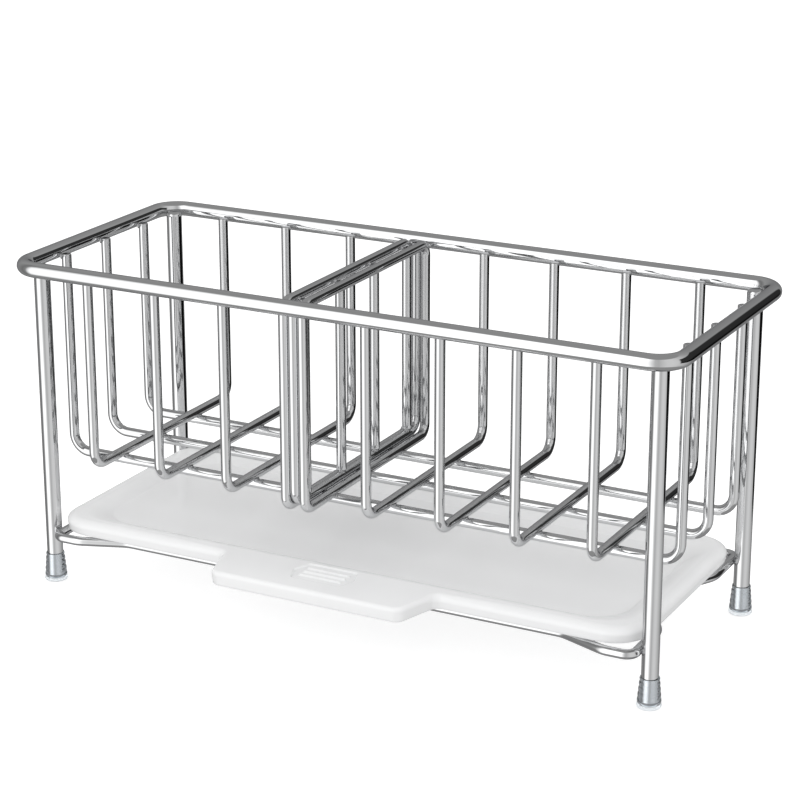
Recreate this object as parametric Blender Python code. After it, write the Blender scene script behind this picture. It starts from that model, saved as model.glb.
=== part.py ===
# Wire organizer rack for the edge of a sink, with a drip tray that pulls out at the front.
#
# A round rim stands on four legs with rubber feet. Thinner wires bent to a U hang inside the rim and
# make the basket. Two closed loops with four bars between them divide it. A shaped wire ring between
# the legs carries the tray, a moulded shell with a rolled rim and a pull tab.
# The origin is on the ground under the middle of the whole object, and the front is at -Y.

import math

import bmesh
import bpy
from mathutils import Vector

# Real sizes of the rack, in metres.
RACK_LENGTH = 0.250
RACK_WIDTH = 0.1043
RACK_HEIGHT = 0.1205
FRAME_WIRE = 0.0055
BASKET_WIRE = 0.0033
RIM_BEND = 0.009
LEG_TOP_DROP = 0.002
SEAT_GAP = 0.0003

# The basket. The room is from the tray's rim up to the lowest basket wire.
TRAY_ROOM = 0.01605
CROSS_WIRES = 8
CROSS_BEND = 0.0055
LONG_WIRES = 3
LONG_BEND = 0.0065
WIRE_END_DROP = 0.0032
DIVIDED_WIRE = 4
DIVIDER_BEND = 0.004
DIVIDER_SINK = 0.0016
DIVIDER_TOP_DROP = 0.0011
BAR_END_DROP = 0.003

# The feet, and the wire ring that carries the tray.
FOOT_HEIGHT = 0.0104
FOOT_SOLE = 0.0014
FOOT_FIT = 0.0002
FOOT_WALL = 0.0004
FOOT_FLARE = 0.0008
FOOT_EDGE = 0.0006
SUPPORT_RISE = 0.0068
SUPPORT_REACH = 0.0053
SUPPORT_CORNER = 0.0035
WAIST_DEPTH = 0.0065
WAIST_BEND = 0.010
SIDE_EAR = 0.022
SIDE_SLANT = 0.012
FRONT_EAR = 0.010
FRONT_SLANT = 0.017

# The tray.
TRAY_SIDE_PLAY = 0.0005
TRAY_EDGE_INSET = 0.0027
TRAY_FORWARD = 0.0008
TRAY_WALL = 0.0018
TRAY_STAND = 0.0009
TRAY_LIP = 0.0025
TRAY_ROLL = 0.0023
TRAY_CREST_FLAT = 0.0027
TRAY_RIM = 0.012
TRAY_DRAFT = 0.0004
TRAY_CORNER = 0.013
TRAY_FLOOR_CORNER = 0.0135

# The tray's pull tab and the grip on its top.
TAB_ROOT_WIDTH = 0.083
TAB_TIP_WIDTH = 0.072
TAB_REACH = 0.017
TAB_EDGE = 0.0014
TAB_CORNER = 0.004
TAB_ROOT_BEND = 0.003
TAB_ROOT_SETBACK = 0.001
TAB_ROOT_FLARE = 0.006
GRIP_LENGTH = 0.0232
GRIP_DEPTH = 0.0133
GRIP_SETBACK = 0.0083
GRIP_POINT = 0.0022
GRIP_SINK = 0.0004
RIDGES = 3
RIDGE_LENGTH = 0.0164
RIDGE_WIDTH = 0.0009
RIDGE_PITCH = 0.00305
RIDGE_RISE = 0.0005
RIDGE_END_BEND = 0.0004

# Fineness of the facets, the angle in degrees past which an edge stays sharp, and how near the axis
# the ends of a turned profile are merged.
FRAME_BEVEL_STEPS = 4
BASKET_BEVEL_STEPS = 2
TURN_STEPS = 6
SADDLE_STEPS = 4
FOOT_STEPS = 20
ROLL_STEPS = 4
SLOPE_STEPS = 5
SHARP_ANGLE = 35
AXIS_MERGE = 0.00001

# Centre distances of two wires that lie side by side.
FRAME_TO_FRAME = FRAME_WIRE + SEAT_GAP
FRAME_TO_BASKET = (FRAME_WIRE + BASKET_WIRE) / 2 + SEAT_GAP
BASKET_TO_BASKET = BASKET_WIRE + SEAT_GAP

# The rim's centreline, and the legs, which stand inside the bends at its corners.
RIM_X = (RACK_LENGTH - FRAME_WIRE) / 2
RIM_Y = (RACK_WIDTH - FRAME_WIRE) / 2
RIM_Z = RACK_HEIGHT - FRAME_WIRE / 2
LEG_INSET = max(FRAME_TO_FRAME, RIM_BEND - (RIM_BEND - FRAME_TO_FRAME) / math.sqrt(2))
LEG_X = RIM_X - LEG_INSET
LEG_Y = RIM_Y - LEG_INSET

# The support ring, with the tray standing on it.
SUPPORT_Z = FOOT_HEIGHT + SUPPORT_RISE + BASKET_WIRE / 2
SUPPORT_X = LEG_X - FRAME_TO_BASKET
SUPPORT_Y = LEG_Y + SUPPORT_REACH
TRAY_Z = SUPPORT_Z + BASKET_WIRE / 2 + SEAT_GAP
TRAY_X = LEG_X - FRAME_WIRE / 2 - TRAY_SIDE_PLAY
TRAY_Y = RIM_Y - TRAY_EDGE_INSET
TRAY_FLOOR = TRAY_STAND + TRAY_WALL
TRAY_CREST = TRAY_FLOOR + TRAY_LIP

# The basket wires' heights and spacings.
LONG_Z = TRAY_Z + TRAY_CREST + TRAY_ROOM + BASKET_WIRE / 2
CROSS_Z = LONG_Z + BASKET_TO_BASKET
WIRE_TOP_Z = RACK_HEIGHT - WIRE_END_DROP
CROSS_PITCH = 2 * RIM_X / (CROSS_WIRES + 1)
LONG_PITCH = 2 * RIM_Y / (LONG_WIRES + 1)
DIVIDER_X = -RIM_X + DIVIDED_WIRE * CROSS_PITCH
DIVIDER_TOP_Z = RACK_HEIGHT - DIVIDER_TOP_DROP - BASKET_WIRE / 2
DIVIDER_Z = CROSS_Z - DIVIDER_SINK

# The whole object is centred in Y with its tab.
FRONT_REACH = max(RACK_WIDTH / 2, TRAY_FORWARD + TRAY_Y + TAB_REACH)
RACK_Y = (FRONT_REACH - RACK_WIDTH / 2) / 2

CORNERS = {
    "front_left": (-1, -1),
    "front_right": (1, -1),
    "rear_left": (-1, 1),
    "rear_right": (1, 1),
}


def clear_scene():
    for item in list(bpy.data.objects):
        bpy.data.objects.remove(item)


def material(name, color, roughness, metallic, alpha=1.0):
    made = bpy.data.materials.new(name)
    made.use_nodes = True
    shader = made.node_tree.nodes["Principled BSDF"]
    shader.inputs["Base Color"].default_value = (*color, 1)
    shader.inputs["Roughness"].default_value = roughness
    shader.inputs["Metallic"].default_value = metallic
    shader.inputs["Alpha"].default_value = alpha
    made.diffuse_color = (*color, alpha)
    return made


def place(name, data, parent, location=(0, 0, 0)):
    placed = bpy.data.objects.new(name, data)
    placed.parent = parent
    placed.location = location
    bpy.context.collection.objects.link(placed)
    return placed


def bent_path(corners, bends, closed=False):
    """Straight runs from corner to corner, with each corner rounded to its own bend radius."""
    corners = [Vector(corner) for corner in corners]
    if not isinstance(bends, (list, tuple)):
        bends = [bends] * len(corners)
    points = []
    for index, corner in enumerate(corners):
        if not closed and index in (0, len(corners) - 1):
            points.append(corner)
            continue
        before = (corner - corners[index - 1]).normalized()
        after = (corners[(index + 1) % len(corners)] - corner).normalized()
        turn = before.angle(after)
        inward = (after - before * math.cos(turn)).normalized()
        start = corner - before * bends[index] * math.tan(turn / 2)
        steps = max(2, math.ceil(TURN_STEPS * turn / (math.pi / 2)))
        for step in range(steps + 1):
            angle = turn * step / steps
            along = before * math.sin(angle) + inward * (1 - math.cos(angle))
            points.append(start + along * bends[index])
    return points


def wire(name, points, diameter, bevel_steps, finish, closed=False):
    """A round wire along the points, as curve data that several objects can share."""
    curve = bpy.data.curves.new(name, "CURVE")
    curve.dimensions = "3D"
    curve.bevel_depth = diameter / 2
    curve.bevel_resolution = bevel_steps
    curve.use_fill_caps = not closed
    curve.materials.append(finish)
    spline = curve.splines.new("POLY")
    spline.points.add(len(points) - 1)
    spline.use_cyclic_u = closed
    for target, point in zip(spline.points, points):
        target.co = (*point, 1)
    return curve


def frame_wire(name, points, closed=False):
    return wire(name, points, FRAME_WIRE, FRAME_BEVEL_STEPS, chrome_frame, closed)


def basket_wire(name, points, closed=False):
    return wire(name, points, BASKET_WIRE, BASKET_BEVEL_STEPS, chrome_basket, closed)


def smooth_mesh(mesh):
    mesh.shade_smooth()
    mesh.set_sharp_from_angle(angle=math.radians(SHARP_ANGLE))


def turned(name, profile, steps, finish, parent, location):
    """A solid turned about its own Z from (radius, height) points that end on the axis."""
    mesh = bpy.data.meshes.new(name)
    edges = [(index, index + 1) for index in range(len(profile) - 1)]
    mesh.from_pydata([(radius, 0, height) for radius, height in profile], edges, [])
    mesh.materials.append(finish)
    made = place(name, mesh, parent, location)
    screw = made.modifiers.new("turn", "SCREW")
    screw.steps = steps
    screw.render_steps = steps
    screw.use_merge_vertices = True
    screw.merge_threshold = AXIS_MERGE
    return made


def loft_into(shape, rings):
    """Adds the closed solid that runs through rings of equally many points, the lowest ring first."""
    levels = [[shape.verts.new(point) for point in ring] for ring in rings]
    count = len(levels[0])
    for lower, upper in zip(levels, levels[1:]):
        for index in range(count):
            following = (index + 1) % count
            shape.faces.new((lower[index], lower[following], upper[following], upper[index]))
    shape.faces.new(levels[0][::-1])
    shape.faces.new(levels[-1])


def prism_into(shape, outline, low, high):
    """Adds an upright prism over the outline."""
    loft_into(shape, [[Vector((point.x, point.y, height)) for point in outline] for height in (low, high)])


def mesh_object(name, shape, parent, finish):
    mesh = bpy.data.meshes.new(name)
    bmesh.ops.recalc_face_normals(shape, faces=shape.faces)
    shape.to_mesh(mesh)
    shape.free()
    mesh.materials.append(finish)
    return place(name, mesh, parent)


def combine(target, others, operation):
    """Adds each other solid to the target, or cuts it away, and keeps the result as plain mesh."""
    for other in others:
        boolean = target.modifiers.new(other.name, "BOOLEAN")
        boolean.operation = operation
        boolean.solver = "EXACT"
        boolean.object = other
    bpy.context.view_layer.update()
    graph = bpy.context.evaluated_depsgraph_get()
    combined = bpy.data.meshes.new_from_object(target.evaluated_get(graph))
    target.modifiers.clear()
    target.data = combined
    for other in others:
        bpy.data.objects.remove(other)


# The frame.


def add_rim(parent):
    corners = [(-RIM_X, -RIM_Y, 0), (RIM_X, -RIM_Y, 0), (RIM_X, RIM_Y, 0), (-RIM_X, RIM_Y, 0)]
    path = bent_path(corners, RIM_BEND, closed=True)
    place("top_rim", frame_wire("top_rim", path, closed=True), parent, (0, 0, RIM_Z))


def add_legs(parent):
    bottom = FOOT_SOLE + SEAT_GAP
    leg = frame_wire("leg", [Vector((0, 0, bottom)), Vector((0, 0, RACK_HEIGHT - LEG_TOP_DROP))])
    for corner, (side, end) in CORNERS.items():
        place("leg_" + corner, leg, parent, (side * LEG_X, end * LEG_Y, 0))


def foot_profile():
    """Up the bore from its floor, over the lip, down the flared side and under the sole."""
    bore = FRAME_WIRE / 2 + FOOT_FIT
    top = bore + FOOT_WALL
    bottom = top + FOOT_FLARE
    profile = [(0, FOOT_SOLE), (bore, FOOT_SOLE), (bore, FOOT_HEIGHT), (top, FOOT_HEIGHT)]
    for step in range(ROLL_STEPS + 1):
        angle = math.pi / 2 * step / ROLL_STEPS
        reach = bottom - FOOT_EDGE * (1 - math.cos(angle))
        profile.append((reach, FOOT_EDGE * (1 - math.sin(angle))))
    profile.append((0, 0))
    return profile


def add_feet(parent):
    for corner, (side, end) in CORNERS.items():
        place_at = (side * LEG_X, end * LEG_Y, 0)
        turned("foot_" + corner, foot_profile(), FOOT_STEPS, clear_rubber, parent, place_at)


# The basket.


def u_path(half_width, bend, bottom_z, across):
    """A U that opens upwards, in the X-Z or the Y-Z plane, with its bottom run at height zero."""
    top = WIRE_TOP_Z - bottom_z
    flat = [(-half_width, top), (-half_width, 0), (half_width, 0), (half_width, top)]
    corners = [(0, run, rise) if across else (run, 0, rise) for run, rise in flat]
    return bent_path(corners, bend)


def add_cross_wires(parent):
    path = u_path(RIM_Y - FRAME_TO_BASKET, CROSS_BEND, CROSS_Z, across=True)
    curve = basket_wire("cross_wire", path)
    for number in range(1, CROSS_WIRES + 1):
        place(f"cross_wire_{number}", curve, parent, (-RIM_X + number * CROSS_PITCH, 0, CROSS_Z))


def add_long_wires(parent):
    path = u_path(RIM_X - FRAME_TO_BASKET, LONG_BEND, LONG_Z, across=False)
    curve = basket_wire("long_wire", path)
    for number in range(1, LONG_WIRES + 1):
        place(f"long_wire_{number}", curve, parent, (0, -RIM_Y + number * LONG_PITCH, LONG_Z))


def divider_path(crossings, reach):
    """Round the loop, with the rings close together where its bottom run crosses a long wire."""
    half = RIM_Y - FRAME_TO_BASKET
    low, high = DIVIDER_Z, DIVIDER_TOP_Z
    corners = [(0, -half, low), (0, half, low), (0, half, high), (0, -half, high)]
    path = bent_path(corners, DIVIDER_BEND, closed=True)
    middle = (low + high) / 2
    first_bend = sum(point.y < 0 and point.z < middle for point in path)
    run = []
    for crossing in crossings:
        for step in range(-SADDLE_STEPS, SADDLE_STEPS + 1):
            aside = reach * math.sin(math.pi / 2 * step / SADDLE_STEPS)
            run.append(Vector((0, crossing + aside, low)))
    return path[:first_bend] + run + path[first_bend:]


def divider_loop():
    """A closed loop of wire that is pressed in where it sits on the long wires."""
    crossings = [-RIM_Y + number * LONG_PITCH for number in range(1, LONG_WIRES + 1)]
    reach = BASKET_WIRE / 2 + SEAT_GAP
    guide = place("guide", basket_wire("guide", divider_path(crossings, reach), closed=True), None)
    bpy.context.view_layer.update()
    graph = bpy.context.evaluated_depsgraph_get()
    loop = bpy.data.meshes.new_from_object(guide.evaluated_get(graph))
    bpy.data.objects.remove(guide)
    loop.name = "divider_loop"
    for vertex in loop.vertices:
        for crossing in crossings:
            aside = abs(vertex.co.y - crossing)
            if aside < reach:
                seat = LONG_Z + math.sqrt(reach**2 - aside**2)
                vertex.co.z = max(vertex.co.z, seat)
    smooth_mesh(loop)
    return loop


def add_divider(parent):
    """Two loops, one on each side of a cross wire, and a bar between them in each bay of the long wires."""
    loop = divider_loop()
    for name, side in (("divider_loop_left", -1), ("divider_loop_right", 1)):
        place(name, loop, parent, (DIVIDER_X + side * BASKET_TO_BASKET, 0, 0))
    bar_ends = (CROSS_Z + BASKET_WIRE / 2 + SEAT_GAP, RACK_HEIGHT - BAR_END_DROP)
    bar = basket_wire("divider_bar", [Vector((0, 0, height)) for height in bar_ends])
    for number in range(1, LONG_WIRES + 2):
        place(f"divider_bar_{number}", bar, parent, (DIVIDER_X, -RIM_Y + (number - 0.5) * LONG_PITCH, 0))


# The wire ring under the tray.


def support_corners():
    """An oblong with its corners pushed out as ears beside the legs, and a waist in each side."""
    ear_x = SUPPORT_X - FRONT_EAR
    ear_y = SUPPORT_Y - SIDE_EAR
    quarter = [
        (ear_x - FRONT_SLANT, SUPPORT_Y - WAIST_DEPTH, WAIST_BEND),
        (ear_x, SUPPORT_Y, WAIST_BEND),
        (SUPPORT_X, SUPPORT_Y, SUPPORT_CORNER),
        (SUPPORT_X, ear_y, WAIST_BEND),
        (SUPPORT_X - WAIST_DEPTH, ear_y - SIDE_SLANT, WAIST_BEND),
    ]
    front_right = [(x, -y, bend) for x, y, bend in quarter]
    rear_right = [(x, y, bend) for x, y, bend in reversed(quarter)]
    rear_left = [(-x, y, bend) for x, y, bend in quarter]
    front_left = [(-x, -y, bend) for x, y, bend in reversed(quarter)]
    return front_right + rear_right + rear_left + front_left


def add_support(parent):
    listed = support_corners()
    bends = [bend for _, _, bend in listed]
    path = bent_path([(x, y, 0) for x, y, _ in listed], bends, closed=True)
    place("tray_support", basket_wire("tray_support", path, closed=True), parent, (0, 0, SUPPORT_Z))


# The tray. Its solids are drawn about the middle of its own underside.


def tray_outline(inset):
    share = inset / TRAY_RIM
    corner = TRAY_CORNER + (TRAY_FLOOR_CORNER - TRAY_CORNER) * share
    x = TRAY_X - inset
    y = TRAY_Y - inset
    return bent_path([(-x, -y, 0), (x, -y, 0), (x, y, 0), (-x, y, 0)], corner, closed=True)


def tray_skin(wall, bottom):
    """(inset, height) from the skirt's lower edge over the rolled rim to the floor, a wall inwards."""
    center = max(TRAY_ROLL, wall + SEAT_GAP)
    roll = center - wall
    crest = TRAY_CREST - wall
    skin = [(TRAY_DRAFT + wall, bottom)]
    for step in range(ROLL_STEPS + 1):
        angle = math.pi / 2 * step / ROLL_STEPS
        skin.append((center - roll * math.cos(angle), crest - roll + roll * math.sin(angle)))
    slope_start = TRAY_ROLL + TRAY_CREST_FLAT
    for step in range(SLOPE_STEPS + 1):
        share = step / SLOPE_STEPS
        ease = share * share * (3 - 2 * share)
        skin.append((slope_start + (TRAY_RIM - slope_start) * share, crest - TRAY_LIP * ease))
    return skin


def tray_solid(name, parent, wall=0.0, bottom=0.0):
    """The tray without its tab, or the hollow under its skin when a wall is given."""
    rings = []
    for inset, height in tray_skin(wall, bottom):
        rings.append([Vector((point.x, point.y, height)) for point in tray_outline(inset)])
    shape = bmesh.new()
    loft_into(shape, rings)
    return mesh_object(name, shape, parent, white_plastic)


def tab_outline(inset, flare):
    """The tab from its root inside the tray's rim to its tip, with its sides drawn in by the inset."""
    slant = math.atan2((TAB_ROOT_WIDTH - TAB_TIP_WIDTH) / 2, TAB_REACH)
    side = inset / math.cos(slant)
    tip = (TAB_TIP_WIDTH / 2 - side + inset * math.tan(slant), -TRAY_Y - TAB_REACH + inset)
    neck = (TAB_ROOT_WIDTH / 2 - side, -TRAY_Y + TAB_ROOT_SETBACK)
    root_y = -TRAY_Y + TRAY_ROLL + TRAY_CREST_FLAT / 2
    half = [tip, neck]
    bends = [max(TAB_CORNER - inset, SEAT_GAP), TAB_ROOT_BEND + inset]
    if flare:
        half.append((TAB_ROOT_WIDTH / 2 + flare, neck[1]))
        bends.append(SEAT_GAP)
    half.append((half[-1][0], root_y))
    bends.append(SEAT_GAP)
    right = [(x, y, 0) for x, y in half]
    left = [(-x, y, 0) for x, y in reversed(half)]
    return bent_path(right + left, bends + bends[::-1], closed=True)


def tab_solid(parent):
    """The tab with rounded upper edges. Its root flares out inside the tray's rim."""
    levels = [(0, 0)]
    for step in range(ROLL_STEPS + 1):
        angle = math.pi / 2 * step / ROLL_STEPS
        levels.append((TAB_EDGE * (1 - math.cos(angle)), TRAY_CREST - TAB_EDGE * (1 - math.sin(angle))))
    rings = []
    for inset, height in levels:
        outline = tab_outline(inset, TAB_ROOT_FLARE)
        rings.append([Vector((point.x, point.y, height)) for point in outline])
    shape = bmesh.new()
    loft_into(shape, rings)
    return mesh_object("tab", shape, parent, white_plastic)


def tab_hollow(parent):
    shape = bmesh.new()
    prism_into(shape, tab_outline(TRAY_WALL, 0), -TRAY_WALL, TRAY_CREST - TRAY_WALL)
    return mesh_object("tab_hollow", shape, parent, white_plastic)


def grip_recess(parent):
    """The shallow six-sided recess in the tab's top."""
    middle = -TRAY_Y - TAB_REACH + GRIP_SETBACK + GRIP_DEPTH / 2
    reach = GRIP_LENGTH / 2
    shoulder = reach - GRIP_POINT
    deep = GRIP_DEPTH / 2
    corners = [
        (-shoulder, middle - deep, 0),
        (shoulder, middle - deep, 0),
        (reach, middle, 0),
        (shoulder, middle + deep, 0),
        (-shoulder, middle + deep, 0),
        (-reach, middle, 0),
    ]
    shape = bmesh.new()
    outline = bent_path(corners, RIDGE_WIDTH, closed=True)
    prism_into(shape, outline, TRAY_CREST - GRIP_SINK, TRAY_CREST + GRIP_SINK)
    return mesh_object("grip_recess", shape, parent, white_plastic)


def grip_ridges(parent):
    """Low round-ended ridges across the recess, for the thumb."""
    middle = -TRAY_Y - TAB_REACH + GRIP_SETBACK + GRIP_DEPTH / 2
    floor = TRAY_CREST - GRIP_SINK
    half = RIDGE_WIDTH / 2
    shape = bmesh.new()
    for number in range(RIDGES):
        y = middle + (number - (RIDGES - 1) / 2) * RIDGE_PITCH
        x = RIDGE_LENGTH / 2
        corners = [(-x, y - half, 0), (x, y - half, 0), (x, y + half, 0), (-x, y + half, 0)]
        outline = bent_path(corners, RIDGE_END_BEND, closed=True)
        prism_into(shape, outline, floor - RIDGE_RISE, floor + RIDGE_RISE)
    return mesh_object("grip_ridges", shape, parent, white_plastic)


def add_tray(parent):
    tray = tray_solid("drip_tray", parent)
    combine(tray, [tab_solid(parent)], "UNION")
    hollows = [
        tray_solid("rim_hollow", parent, TRAY_WALL, -TRAY_WALL),
        tab_hollow(parent),
        grip_recess(parent),
    ]
    combine(tray, hollows, "DIFFERENCE")
    combine(tray, [grip_ridges(parent)], "UNION")
    smooth_mesh(tray.data)


clear_scene()

chrome_frame = material("chrome_frame", (0.82, 0.83, 0.84), 0.06, 1.0)
chrome_basket = material("chrome_basket", (0.80, 0.81, 0.82), 0.07, 1.0)
clear_rubber = material("clear_rubber", (0.62, 0.67, 0.71), 0.25, 0.0, alpha=0.55)
white_plastic = material("white_plastic", (0.90, 0.90, 0.90), 0.22, 0.0)

rack = place("rack_middle", None, None, (0, RACK_Y, 0))
tray_slide = place("tray_slide", None, rack, (0, -TRAY_FORWARD, TRAY_Z))

add_rim(rack)
add_legs(rack)
add_feet(rack)
add_cross_wires(rack)
add_long_wires(rack)
add_divider(rack)
add_support(rack)
add_tray(tray_slide)
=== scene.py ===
# Chrome wire sink organizer with a white pull-out drip tray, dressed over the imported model.
# Lengths are in metres. The wires, the welds, the clear feet and the tray are surfaces worked out
# with numpy, each at the place of its CAD node.

import math

import bpy
import numpy as np
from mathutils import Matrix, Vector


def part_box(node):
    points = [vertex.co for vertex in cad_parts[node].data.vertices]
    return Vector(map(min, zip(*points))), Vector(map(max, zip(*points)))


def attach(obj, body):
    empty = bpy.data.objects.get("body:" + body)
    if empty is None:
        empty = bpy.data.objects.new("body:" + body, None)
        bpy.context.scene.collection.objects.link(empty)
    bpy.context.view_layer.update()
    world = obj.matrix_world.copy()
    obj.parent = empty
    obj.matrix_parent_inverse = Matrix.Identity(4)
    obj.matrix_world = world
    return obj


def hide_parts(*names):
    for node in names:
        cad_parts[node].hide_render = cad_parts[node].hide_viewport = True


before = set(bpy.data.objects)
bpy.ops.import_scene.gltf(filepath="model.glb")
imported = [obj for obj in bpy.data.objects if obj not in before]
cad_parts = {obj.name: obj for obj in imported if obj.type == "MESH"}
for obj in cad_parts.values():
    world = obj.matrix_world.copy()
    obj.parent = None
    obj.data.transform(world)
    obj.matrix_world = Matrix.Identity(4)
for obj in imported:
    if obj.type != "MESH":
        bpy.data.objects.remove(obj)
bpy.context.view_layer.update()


# Meshes from grids

def unit(vectors):
    return vectors / np.linalg.norm(vectors, axis=-1, keepdims=True)


def gridFaces(rows, columns, closedRows=False):
    # Square faces of a grid whose columns close on themselves: corner, next column, next row, back.
    row = np.arange(rows if closedRows else rows - 1)[:, None]
    column = np.arange(columns)[None, :]
    following = (row + 1) % rows
    beside = (column + 1) % columns
    near, far = row * columns, following * columns
    square = (near + column, near + beside, far + beside, far + column)
    return np.stack(np.broadcast_arrays(*square), -1).reshape(-1, 4)


def softStep(value):
    value = np.clip(value, 0, 1)
    return value * value * (3 - 2 * value)


def fanFaces(pole, ring, outward):
    # Triangles from a pole to each side of a ring, turned so that they face outwards.
    beside = np.roll(ring, -1)
    pair = (beside, ring) if outward else (ring, beside)
    return np.stack((np.full(len(ring), pole), *pair), -1)


def capFaces(rows, around):
    # Fans that close a grid's first and last rows on two poles, the two points after the grid's own.
    ring, pole = np.arange(around), rows * around
    return np.concatenate((fanFaces(pole, ring, True), fanFaces(pole + 1, pole - around + ring, False)))


def fullTurn(facets):
    return np.linspace(0, 2 * math.pi, facets, endpoint=False)


def newObject(name, data):
    made = bpy.data.objects.new(name, data)
    bpy.context.scene.collection.objects.link(made)
    return made


def addPiece(name, points, quads, triangles, material, body, slotName, nodes=(), uv=None, weld=None):
    mesh = bpy.data.meshes.new(name)
    mesh.from_pydata(points.tolist(), [], quads.tolist() + triangles.tolist())
    mesh.shade_smooth()
    mesh.materials.append(material)
    if uv is not None:
        layer = mesh.uv_layers.new(name="alongTheWire")
        layer.data.foreach_set("uv", uv.astype(np.float32).ravel())
    if weld is not None:
        nearness = mesh.attributes.new("weldNear", "FLOAT", "POINT")
        nearness.data.foreach_set("value", weld.astype(np.float32))
    piece = newObject(name, mesh)
    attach(piece, body)
    if nodes:
        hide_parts(*nodes)


# Node helpers

nodeLayout = {"across": 220, "down": 260, "inRow": 7}


def addNode(tree, kind, inputs=(), **settings):
    made = tree.nodes.new(kind)
    row, column = divmod(len(tree.nodes), nodeLayout["inRow"])
    made.location = (nodeLayout["across"] * column, -nodeLayout["down"] * row)
    for label, value in settings.items():
        setattr(made, label, value)
    for label, value in dict(inputs).items():
        made.inputs[label].default_value = value
    return made


def feed(tree, socket, value):
    # A number is set on the socket itself; anything else is another node's output.
    if isinstance(value, (int, float)):
        socket.default_value = value
    else:
        tree.links.new(value, socket)


def mathNode(tree, operation, first, second=None, clamp=False):
    made = addNode(tree, "ShaderNodeMath", operation=operation, use_clamp=clamp)
    feed(tree, made.inputs[0], first)
    if second is not None:
        feed(tree, made.inputs[1], second)
    return made.outputs[0]


def blendNode(tree, share, first, second):
    made = addNode(tree, "ShaderNodeMix", data_type="FLOAT")
    for label, value in (("Factor", share), ("A", first), ("B", second)):
        feed(tree, made.inputs[label], value)
    return made.outputs["Result"]


def rangeNode(tree, value, start, end, low=0.0, high=1.0, easing="SMOOTHSTEP"):
    span = {"From Min": start, "From Max": end, "To Min": low, "To Max": high}
    made = addNode(tree, "ShaderNodeMapRange", span, interpolation_type=easing)
    feed(tree, made.inputs["Value"], value)
    return made.outputs["Result"]


def windowNode(tree, value, edges):
    # 1 between the two inner edges, with a soft fall to the outer ones.
    rise = rangeNode(tree, value, *edges[:2])
    fall = rangeNode(tree, value, *edges[2:], 1.0, 0.0)
    return mathNode(tree, "MULTIPLY", rise, fall)


def newGroup(name, inputs, output):
    group = bpy.data.node_groups.new(name, "ShaderNodeTree")
    for label, value in inputs.items():
        socket = group.interface.new_socket(name=label, in_out="INPUT", socket_type="NodeSocketFloat")
        socket.default_value = value
    group.interface.new_socket(name=output, in_out="OUTPUT", socket_type="NodeSocketFloat")
    return group, addNode(group, "NodeGroupInput"), addNode(group, "NodeGroupOutput")


def placeGroup(tree, group, values):
    return addNode(tree, "ShaderNodeGroup", values, node_tree=group).outputs[0]


def noiseIn(group, scaleFrom, detail):
    place = addNode(group, "ShaderNodeTexCoord")
    noise = addNode(group, "ShaderNodeTexNoise", {"Detail": detail, "Roughness": 0.5})
    feed(group, noise.inputs["Vector"], place.outputs["Object"])
    feed(group, noise.inputs["Scale"], scaleFrom)
    return noise.outputs["Fac"]


filmLook = {
    "sockets": {"Patches per metre": 40, "Specks per metre": 600, "Share": 0.5},
    "patchDetail": 3,
    "speckDetail": 2,
    "patchEdges": (0.42, 0.68),
}


def makeHandlingFilm(look):
    # Wiping marks, from 0 where clean to 1: broad patches times (fine specks plus the share).
    group, given, made = newGroup("handlingFilm", look["sockets"], "Film")
    broad = noiseIn(group, given.outputs["Patches per metre"], look["patchDetail"])
    patches = rangeNode(group, broad, *look["patchEdges"])
    specks = noiseIn(group, given.outputs["Specks per metre"], look["speckDetail"])
    raised = mathNode(group, "ADD", specks, given.outputs["Share"])
    feed(group, made.inputs["Film"], mathNode(group, "MULTIPLY", patches, raised, True))
    return group


waveLook = {
    "sockets": {"Waves per metre": 60, "Fine per metre": 900, "Fine share": 0.1},
    "swellDetail": 1,
    "fineDetail": 2,
}


def makeSurfaceWaves(look):
    # A height: slow swells plus a small share of finer waves.
    group, given, made = newGroup("surfaceWaves", look["sockets"], "Height")
    swell = noiseIn(group, given.outputs["Waves per metre"], look["swellDetail"])
    fine = noiseIn(group, given.outputs["Fine per metre"], look["fineDetail"])
    fine = mathNode(group, "MULTIPLY", fine, given.outputs["Fine share"])
    feed(group, made.inputs["Height"], mathNode(group, "ADD", swell, fine))
    return group


def newMaterial(name, inputs):
    material = bpy.data.materials.new(name)
    material.use_nodes = True
    shader = material.node_tree.nodes["Principled BSDF"]
    for label, value in inputs.items():
        shader.inputs[label].default_value = value
    return material, material.node_tree, shader


def tintBy(tree, shader, mask, clean, marked):
    mix = addNode(tree, "ShaderNodeMix", data_type="RGBA")
    mix.inputs["A"].default_value = (*clean, 1)
    mix.inputs["B"].default_value = (*marked, 1)
    feed(tree, mix.inputs["Factor"], mask)
    feed(tree, shader.inputs["Base Color"], mix.outputs["Result"])


def dullBy(tree, shader, mask, clean, marked):
    feed(tree, shader.inputs["Roughness"], rangeNode(tree, mask, 0, 1, clean, marked))


def bumpBy(tree, shader, height, depth):
    bump = addNode(tree, "ShaderNodeBump", {"Distance": depth})
    feed(tree, bump.inputs["Height"], height)
    feed(tree, shader.inputs["Normal"], bump.outputs["Normal"])


# Finishes

chromeLook = {
    "plate": (0.7, 0.705, 0.71),
    "weldTint": (0.65, 0.65, 0.66),
    "edgeTint": (0.55, 0.55, 0.56, 1),
    "polished": 0.012,
    "dulled": 0.05,
    "marks": {"Patches per metre": 55, "Specks per metre": 900, "Share": 0.35},
    "marksShare": 0.3,
    "ripple": {"Waves per metre": 70, "Fine per metre": 500, "Fine share": 0.04},
    "rippleDepth": 0.00002,
    "pucker": {"Waves per metre": 650, "Fine share": 0.2},
    "puckerDepth": 0.00001,
    "leastDull": None,
}

collarLook = dict(
    chromeLook,
    polished=0.02,
    dulled=0.08,
    leastDull=0.2,
    patches={"Waves per metre": 700},
    patchEdges=(0.3, 0.7),
)


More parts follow.
